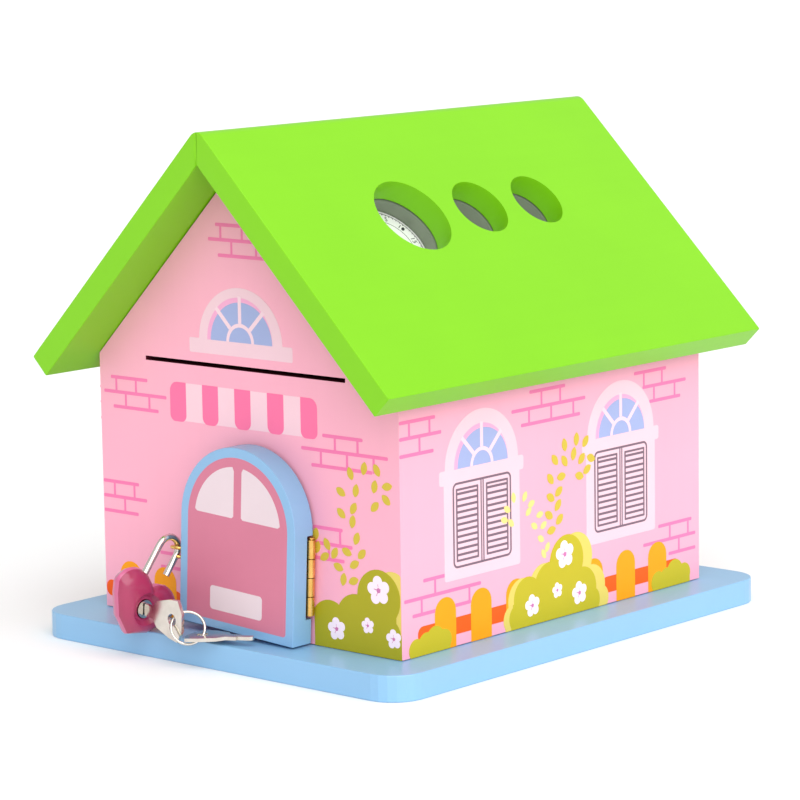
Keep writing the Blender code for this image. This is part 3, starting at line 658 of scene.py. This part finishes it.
for x0, x1 in ((-35.2, -27.4), (26.3, 33.9)):
    front.draw("awning_pink", pad(x0, x1, 79.2, 93, 2.4, 3.4))
    inner = (x0 + 4, x1) if x0 < 0 else (x0, x1 - 4)
    front.draw("awning_pink", pad(*inner, 84, 93, 0.2))
stripe = film([pad(-19.6, -12, 79.2, 93, 2.6, 0.2)], INKS["awning_pink"][1])
front.add("awning_pink", row.grow(stripe, front.finish("awning_pink"), Count=3, Step=(15.3 * MM, 0, 0)))
fence(front, 2, 17, -57, [(-69.6, -32)])
FRONT_SHRUB = [(38, 17, 8.5), (50, 20, 9), (60, 29, 9.5), (62, 16, 7.8)]
shrub(front, "shrub_pale", [(66, 31, 7.5)], right=69.6)
shrub(front, "shrub_shade", FRONT_SHRUB, left=31, right=69.8)
front.draw("shrub_shade", pad(31, 69.8, PRINT_FOOT, 17, 0.1))
flowers(front, [(60, 31.5, 5), (41, 16, 4), (55, 19, 2.8), (66.4, 16, 3.4)])
vine(
    front,
    "vine",
    [(54.4, 71.7, 80), (48.3, 69.4, 110), (60, 71.7, 120), (58.9, 66.1, 80), (64.4, 66.7, 10)]
    + [(43.9, 62.8, 150), (50.6, 63.9, 80), (63.9, 62.2, 140), (58.9, 59.4, 45), (43.9, 55.6, 140)]
    + [(49.4, 57.8, 60), (48.9, 53.3, 80), (50.6, 47.8, 70), (46.1, 42.8, 160), (52.8, 42.8, 45)]
    + [(49.4, 38.9, 30), (42.2, 37.2, 160), (44.4, 33.3, 80), (48.9, 33.3, 20), (32.2, 47.2, 80)]
    + [(32.8, 42.8, 70), (37.2, 44.4, 120), (36.1, 40, 30), (40.6, 41.7, 60)],
)
front.lay()


SIDE_PICKET_STEP = 18.55


def side_print(face, way):
    """The picture of a side wall; way is -1 where the left wall carries it mirrored."""

    def turned(places):
        return [(x * way, z, t if way > 0 else 180 - t) for x, z, t in places]

    def span(x0, x1):
        return sorted((x0 * way, x1 * way))

    courses = [(88.1, -82, -64), (82.7, -82, -61), (77, -82, -65), (90, -14.9, 4.6), (84.4, -24.6, 15.7)]
    courses += [(79.1, -19.6, 12.7), (89.2, 43.4, 62.3), (83.7, 48.4, 74), (78.2, 52.3, 70.7)]
    courses += [(34.2, -71.2, -59.3), (28.6, -80.8, -41.6), (23.1, -76.8, -46.9), (32.2, 57.3, 77.3)]
    courses += [(26.7, 48.4, 79.6), (21.3, 63.4, 79.6)]
    joints = [(82.7, 88.1, -77.1, -66.9), (77, 82.7, -72), (84.4, 90, -8.4, 1.8)]
    joints += [(79.1, 84.4, -15.2, -3.2, 9)]
    joints += [(83.7, 89.2, 49.2, 59.8), (78.2, 83.7, 55.1, 67.3), (28.6, 34.2, -65.2)]
    joints += [(23.1, 28.6, -72.1, -47.7), (26.7, 32.2, 64.2, 75.1), (21.3, 26.7, 69.6)]
    bricks(
        face,
        [(z, *span(x0, x1)) for z, x0, x1 in courses],
        [(lower, upper, *(x * way for x in across)) for lower, upper, *across in joints],
    )
    for centre in (-40.5, 35.6):
        shutters(face, centre * way)
    for first, rail in ((-60.2, (-74.2, -22.2)), (19.5, (24.5, 69.5))):
        start = first if way > 0 else -(first + 2 * SIDE_PICKET_STEP)
        fence(face, 3, SIDE_PICKET_STEP, start, [span(*rail)])
    bumps = [(-22, 13, 5), (-17, 19, 7.5), (-5, 21.5, 8.2), (4.5, 28.5, 9.3), (13, 17, 8), (18, 12, 5)]
    shrub(face, "shrub_pale", [((x + (5 if x > 0 else -3)) * way, z, r) for x, z, r in bumps])
    shrub(face, "shrub", [(x * way, z, r) for x, z, r in bumps])
    face.draw("shrub", pad(*span(-25, 21), PRINT_FOOT, 18, 0.2))
    tufts = [(-75, 11.5, 3.8), (-70, 12.5, 4.2), (-65.5, 13.5, 4.6), (-61, 12.5, 3.8)]
    tufts += [(57, 12, 4), (62, 12.5, 4), (67, 14, 4.8), (72.5, 12.8, 3.8)]
    shrub(face, "shrub", [(x * way, z, r) for x, z, r in tufts])
    for x0, x1 in ((-78, -58), (54, 76)):
        face.draw("shrub", pad(*span(x0, x1), PRINT_FOOT, 11.5, 0.2))
    blooms = [(3.5, 31, 5), (-14.5, 16, 4), (-0.8, 19, 2.8), (11.5, 16, 4.2)]
    flowers(face, [(x * way, z, r) for x, z, r in blooms])
    vine(
        face,
        "vine",
        turned(
            [(3.9, 69.3, 100), (10.5, 70.4, 85), (15.5, 69, 50), (-1.5, 64.8, 130), (3.8, 63.7, 125)]
            + [(8.9, 65.5, 75), (13.3, 63.2, 45), (18.5, 62.7, 160), (-4, 58.5, 130), (2, 58.5, 5)]
            + [(16.3, 59, 30), (12, 57.3, 165), (-4, 52, 150), (0.5, 53.5, 35), (0, 48.8, 50)]
            + [(-5, 46, 150), (0.8, 43.7, 40), (-3.7, 40.5, 10)]
        ),
        1.05,
    )
    vine(
        face,
        "vine_pale",
        turned(
            [(-27.5, 51.5, 150), (-24, 55, 100), (-18, 54.5, 60), (-14.5, 51.5, 20), (-29, 48, 165)]
            + [(-25.5, 46.5, 140), (-16, 49, 40), (-10, 47, 10), (-13, 43.5, 150), (-8, 43, 30)]
            + [(-9.5, 38.5, 150), (-6, 35, 60), (-8, 33, 120)]
        ),
        0.85,
    )
    face.lay()


for wall, way in (("right_wall", 1), ("left_wall", -1)):
    turn = Matrix.Rotation(way * math.pi / 2, 4, "Z")
    side_print(Print(wall, Matrix.Translation((way * SIDE_FACE, 0, 0)) @ turn), way)

back = Print("back_wall", Matrix.Translation((0, -FRONT_FACE, 0)) @ Matrix.Rotation(math.pi, 4, "Z"))
bricks(
    back,
    [(148.6, -8, 9), (143.5, -12, 13), (138.2, -9, 12), (95, -64, -44), (89.8, -66, -40), (97, 40, 58)]
    + [(91.8, 36, 62), (30, -69, -58), (24.8, -69, -54), (32, 50, 68), (26.8, 46, 69)]
    + [(60, -6, 8), (54.8, -8, 6)],
    [(143.5, 148.6, -4, 6), (138.2, 143.5, 1), (89.8, 95, -58, -50), (91.8, 97, 45, 54)]
    + [(24.8, 30, -64), (26.8, 32, 56, 63), (54.8, 60, 1)],
)
back.draw("window_white", pad(-24, 24, 104.1, 109.2, 0.6))
fanlight(back, 0, 109, 19.5, 18.6, 15.3, 6.5)
for centre in (-36, 36):
    shutters(back, centre)
fence(back, 7, 18.4, -55.2, [(-66, 66)])
BACK_SHRUB = [(-16, 15, 7), (-6, 21, 8.5), (5, 27, 9), (14, 17, 8)]
shrub(back, "shrub_pale", [(x + 3, z, r) for x, z, r in BACK_SHRUB])
shrub(back, "shrub", BACK_SHRUB)
back.draw("shrub", pad(-21, 20, PRINT_FOOT, 17, 0.2))
flowers(back, [(5, 29, 5), (-12, 16, 4), (9, 15.5, 4)])
back.lay()

# Roof: two 9 mm boards at 45 degrees, glued in a butt joint along the ridge and sprayed lime green.
# The right board has three bored coin mouths, painted with the board.
ROOF_GREEN = srgb(125, 201, 8)
ROOF_GRAIN = (1, 0.06, 1)
BOARD_CREASE = 50
WELD = 2e-6


def smooth_copy(node, crease=35):
    """A welded copy of a CAD node's mesh, smooth except where it turns by more than the crease angle."""
    loose = nodes[node].data
    mesh = bpy.data.meshes.new(node + "_smooth")
    mesh.from_pydata([v.co for v in loose.vertices], [], [list(f.vertices) for f in loose.polygons])
    shape = bmesh.new()
    shape.from_mesh(mesh)
    bmesh.ops.remove_doubles(shape, verts=shape.verts, dist=WELD)
    for face in shape.faces:
        face.smooth = True
    for edge in shape.edges:
        edge.smooth = len(edge.link_faces) == 2 and edge.calc_face_angle(0) < math.radians(crease)
    shape.to_mesh(mesh)
    shape.free()
    work = held(mesh)
    work.modifiers.new("weighted", "WEIGHTED_NORMAL").keep_sharp = True
    return taken(work)


def refined(piece, node, finish, body, crease=35):
    """A smooth piece that stands for a CAD node of the same shape."""
    return own_piece(piece, smooth_copy(node, crease), finish, body, node)


roof_paint = lacquer(
    "roof_paint", "roof_paint", ROOF_GREEN, rough=0.34, grain=ROOF_GRAIN, Specular_IOR_Level=0.35
)
refined("roof_board_left", "roof_left", roof_paint, "house", BOARD_CREASE)
refined("roof_board_right", "roof_right", roof_paint, "house", BOARD_CREASE)

# Coin tubes: a moulded tube behind each mouth, with a cap, a spring and a white plunger whose face
# carries a printed dial of two thin rings, ticks and plain numbers.
tube_grey = Finish("tube_plastic", "tube_plastic")
tube_cloud = tube_grey.noise(90, 2)
tube_grey.feed("Base Color", tube_grey.mix(tube_cloud, srgb(116, 124, 110), srgb(138, 146, 130)))
tube_grey.feed("Roughness", 0.16 + 0.1 * tube_grey.noise(500))
tube_grey.bump(tube_grey.noise(300, 1), 8e-6)
disc_white = Finish("plunger_plastic", "plunger_plastic")
disc_cloud = disc_white.noise(120, 2)
disc_white.feed("Base Color", disc_white.mix(disc_cloud, srgb(228, 229, 226), srgb(244, 245, 243)))
disc_white.feed("Roughness", 0.26 + 0.1 * disc_white.noise(700))
disc_white.bump(disc_white.noise(900, 1), 6e-6)
dial_ink = Finish("dial_ink", "plunger_plastic")
dial_ink.feed("Base Color", dial_ink.mix(dial_ink.noise(900, 2), srgb(34, 36, 40), srgb(66, 68, 72)))
dial_ink.feed("Roughness", 0.4 + 0.1 * dial_ink.noise(1200))
spring_wire = Finish("spring_wire", "spring_steel", Metallic=1.0)
wire_cloud = spring_wire.noise(600)
spring_wire.feed("Base Color", spring_wire.mix(wire_cloud, srgb(150, 150, 152), srgb(196, 196, 198)))
spring_wire.feed("Roughness", 0.25 + 0.15 * spring_wire.noise(2000))

SLOPE = math.sqrt(0.5)
MOUTH_OUT = Vector((SLOPE, 0, SLOPE))
MOUTH_PLACE = Vector((0.033305, 0, 0.149723))
DIAL_FILM = 0.04


def ring(radius, width):
    """A full thin ring, as two halves that meet."""
    outer, inner = radius + width / 2, radius - width / 2
    return [arc(0, 0, outer, a, a + 180, 40) + arc(0, 0, inner, a + 180, a, 40) for a in (0, 180)]


def numeral(text, height, radius, angle):
    """A plain number, standing on a dial of that radius, turned to face its middle."""
    curve = bpy.data.curves.new("numeral", "FONT")
    curve.body, curve.size = text, height
    curve.align_x, curve.align_y = "CENTER", "CENTER"
    curve.resolution_u = 2
    flat = taken(held(curve))
    turn = Matrix.Rotation(angle, 2)
    spots = [turn @ (Vector(v.co[:2]) + Vector((0, radius))) for v in flat.vertices]
    return [[tuple(spots[i]) for i in face.vertices] for face in flat.polygons]


for size, y, radius, numbers, height in (
    ("large", -0.0316, 14.5, 12, 2.9),
    ("medium", 0.00405, 10.6, 10, 2.2),
    ("small", 0.0353, 10.0, 8, 2.2),
):
    origin = MOUTH_PLACE + Vector((0, y, 0))
    body = f"coin_plunger_{size}"
    plunger = refined(f"{body}_disc", body, disc_white, body)
    refined(f"coin_tube_{size}_barrel", f"coin_tube_{size}", tube_grey, "house")
    coat(tube_grey, f"coin_tube_cap_{size}")
    spring = refined(f"coin_spring_{size}_coil", f"coin_spring_{size}", spring_wire, "house", 80)
    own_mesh(spring)
    face_height = max((v.co - origin).dot(MOUTH_OUT) for v in plunger.data.vertices)
    marks = ring(radius - 0.35, 0.28) + ring(radius * 0.7, 0.2)
    for n in range(numbers):
        marks += numeral(str(5 * n), height, radius - 2.6, -math.tau * n / numbers)
    dial = film(marks, DIAL_FILM)
    tick = film([pad(-0.12, 0.12, radius - 1.0, radius - 0.2, 0.05)], DIAL_FILM)
    ticks = fan.grow(tick, dial_ink, Count=numbers * 5, First_Turn=0.0, Turn_Step=math.tau / numbers / 5)
    whole = bmesh.new()
    whole.from_mesh(dial)
    whole.from_mesh(ticks)
    across, up = Vector((0, 1, 0)), Vector((-SLOPE, 0, SLOPE))
    stand = Matrix((across, -MOUTH_OUT, up)).transposed().to_4x4()
    stand.translation = origin + MOUTH_OUT * face_height
    bmesh.ops.transform(whole, matrix=stand, verts=whole.verts)
    whole.to_mesh(dial)
    whole.free()
    own_piece(f"coin_dial_{size}_print", dial, dial_ink, body)

# Door: a 9 mm arched board with softened edges, sprayed blue, with a rose panel, two panes and a
# letter plate printed on its face. It leans a little on its hinge.
DOOR_BLUE = srgb(134, 178, 216)
door_paint = lacquer("door_paint", "door_paint", DOOR_BLUE, rough=0.3, grain=UPRIGHT_GRAIN)
refined("door_board", "door", door_paint, "door", BOARD_CREASE)
DOOR_LEAN = math.radians(3)
DOOR_MIDDLE = (0.0053, -0.092, 0.0484)
DOOR_RADIUS = 26.6
DOOR_FOOT = -37.4
RIM = 3.4
door_face = Print(
    "door", Matrix.Translation(DOOR_MIDDLE) @ Matrix.Rotation(DOOR_LEAN, 4, "Y"), "door", "door_paint"
)
inner = DOOR_RADIUS - RIM
panel = arc(0, 0, inner, 0, 180, 48) + arc(1.2 - inner, DOOR_FOOT + 4.1, 1.2, 180, 270, 6)
panel += arc(inner - 1.2, DOOR_FOOT + 4.1, 1.2, 270, 360, 6)
door_face.draw("door_panel", panel)
PANE, SILL, MULLION = 20.0, 2.2, 1.8
for way in (-1, 1):
    low = math.degrees(math.asin(SILL / PANE)) + 2
    high = math.degrees(math.acos(MULLION / PANE)) - 2
    pane = [(x * way, z) for x, z in arc(0, 0, PANE, low, high, 24)]
    pane += [(way * MULLION, PANE - 1.5), (way * MULLION, SILL + 0.7), (way * (MULLION + 0.7), SILL)]
    pane += [(way * (PANE - 1.2), SILL)]
    door_face.draw("door_pale", pane)
door_face.draw("door_pale", pad(-12.15, 12.15, -30.85, -22.55, 1.3))
door_face.lay()

# Hinge, nails and eyes: pressed brass leaves rolled round a pin, round-headed brass nails, and two
# wire eyes for the lock.
brass = Finish("brass_plate", "brass", Metallic=1.0)
tarnish = brass.noise(300, 3)
brass.feed("Base Color", brass.mix(tarnish, srgb(214, 160, 72), srgb(250, 208, 128)))
brass.feed("Roughness", 0.16 + 0.2 * tarnish)
brass.bump(brass.noise(1800, 2, (1, 1, 0.2)), 6e-6)
for node, body in (("hinge_wall_leaf", "house"), ("hinge_door_leaf", "door"), ("hinge_pin", "house")):
    refined(node + "_brass", node, brass, body)
for node, body in (("hinge_wall_nail", "house"), ("hinge_door_nail", "door")):
    for n in (1, 2):
        refined(f"{node}_{n}_brass", f"{node}_{n}", brass, body)
refined("door_eye_brass", "door_eye", brass, "door", 60)
refined("wall_hook_brass", "wall_hook", brass, "house", 60)

# Padlock: a heart-shaped die-cast body in glossy magenta lacquer with a dished face, a nickel core
# and a bent nickel shackle; its side band is coloured a lighter pink as a painted highlight. Two nickel
# keys hang on a split ring.
heart = Finish("lock_lacquer", "lock_lacquer", Coat_Weight=0.5, Coat_Roughness=0.06)
cloud = heart.noise(70, 3)
HEART_MIDDLE = (-0.029334, -0.105618, 0.018346)
HEART_BACK = (-0.992099, 0.069374, 0.104529)
HEART_HIGHLIGHT_EDGE = -0.0012
from_middle = heart.node("VectorMath", {"operation": "SUBTRACT"}, {0: heart.place, 1: HEART_MIDDLE})
along = {0: from_middle, 1: HEART_BACK}
inwards = heart.node("VectorMath", {"operation": "DOT_PRODUCT"}, along, out="Value")
face_red = heart.mix(cloud, srgb(150, 34, 76), srgb(168, 44, 90))
# Toward the back, the side band is mixed to a lighter pink: a painted highlight, the white surroundings
# reflected on the rounded edge.
heart.feed("Base Color", heart.mix(inwards > HEART_HIGHLIGHT_EDGE, face_red, srgb(198, 92, 136)))
heart.feed("Roughness", 0.3 + 0.08 * heart.noise(800))
heart.bump(heart.noise(260, 2), 2e-5)
refined("lock_body_heart", "lock_body", heart, "lock_body", 40)
nickel = Finish("nickel_plate", "nickel", Metallic=1.0)
wear = nickel.noise(260, 3)
nickel.feed("Base Color", nickel.mix(wear, srgb(196, 190, 180), srgb(236, 232, 224)))
nickel.feed("Roughness", 0.1 + 0.16 * wear)
nickel.bump(nickel.noise(1500, 2), 8e-6)
for node, body, crease in (
    ("shackle", "shackle", 60),
    ("lock_core", "lock_core", 35),
    ("lock_key", "lock_core", 35),
    ("key_ring", "key_ring", 60),
    ("spare_key", "spare_key", 35),
):
    refined(node + "_nickel", node, nickel, body, crease)

# Studio: a pale matt floor in white surroundings, with one large soft sun high on the right. The
# camera stands 1.2 m away with a long lens.
floor_mesh = bpy.data.meshes.new("floor")
floor_mesh.from_pydata([(-30, -30, 0), (30, -30, 0), (30, 30, 0), (-30, 30, 0)], [], [(0, 1, 2, 3)])
floor = bpy.data.objects.new("floor", floor_mesh)
bpy.context.scene.collection.objects.link(floor)
paper = Finish("floor_paper", "floor")
paper.feed("Base Color", paper.mix(paper.noise(3, 2), srgb(246, 246, 246), srgb(250, 250, 250)))
paper.feed("Roughness", 0.7 + 0.1 * paper.noise(8))
floor_mesh.materials.append(paper.material)

world = bpy.data.worlds.new("studio")
world.use_nodes = True
world.node_tree.nodes["Background"].inputs["Color"].default_value = (1, 1, 1, 1)
world.node_tree.nodes["Background"].inputs["Strength"].default_value = 0.72
bpy.context.scene.world = world

SUN_TURN, SUN_HEIGHT = math.radians(65), math.radians(40)
towards = Vector(
    (
        math.sin(SUN_TURN) * math.cos(SUN_HEIGHT),
        -math.cos(SUN_TURN) * math.cos(SUN_HEIGHT),
        math.sin(SUN_HEIGHT),
    )
)
sun = bpy.data.lights.new("key", "SUN")
sun.energy = 2.55
sun.angle = math.radians(75)
key = bpy.data.objects.new("key", sun)
key.rotation_mode = "QUATERNION"
key.rotation_quaternion = towards.to_track_quat("Z", "Y")
bpy.context.scene.collection.objects.link(key)

TURN, RISE, ROLL = math.radians(41.449), math.radians(8.8865), math.radians(-0.9196)
back_way = Vector((math.sin(TURN) * math.cos(RISE), -math.cos(TURN) * math.cos(RISE), math.sin(RISE)))
right_way = Vector((0, 0, 1)).cross(back_way).normalized()
up_way = back_way.cross(right_way)
camera_data = bpy.data.cameras.new("camera")
camera_data.lens = 149.9
camera_data.sensor_width = 36
camera_data.clip_start, camera_data.clip_end = 0.05, 200
camera = bpy.data.objects.new("camera", camera_data)
columns = (
    right_way * math.cos(ROLL) + up_way * math.sin(ROLL),
    up_way * math.cos(ROLL) - right_way * math.sin(ROLL),
    back_way,
)
stance = Matrix(columns).transposed().to_4x4()
stance.translation = Vector((0.77664, -0.88141, 0.26275))
camera.matrix_world = stance
bpy.context.scene.collection.objects.link(camera)
bpy.context.scene.camera = camera
bpy.context.scene.view_settings.view_transform = "Standard"
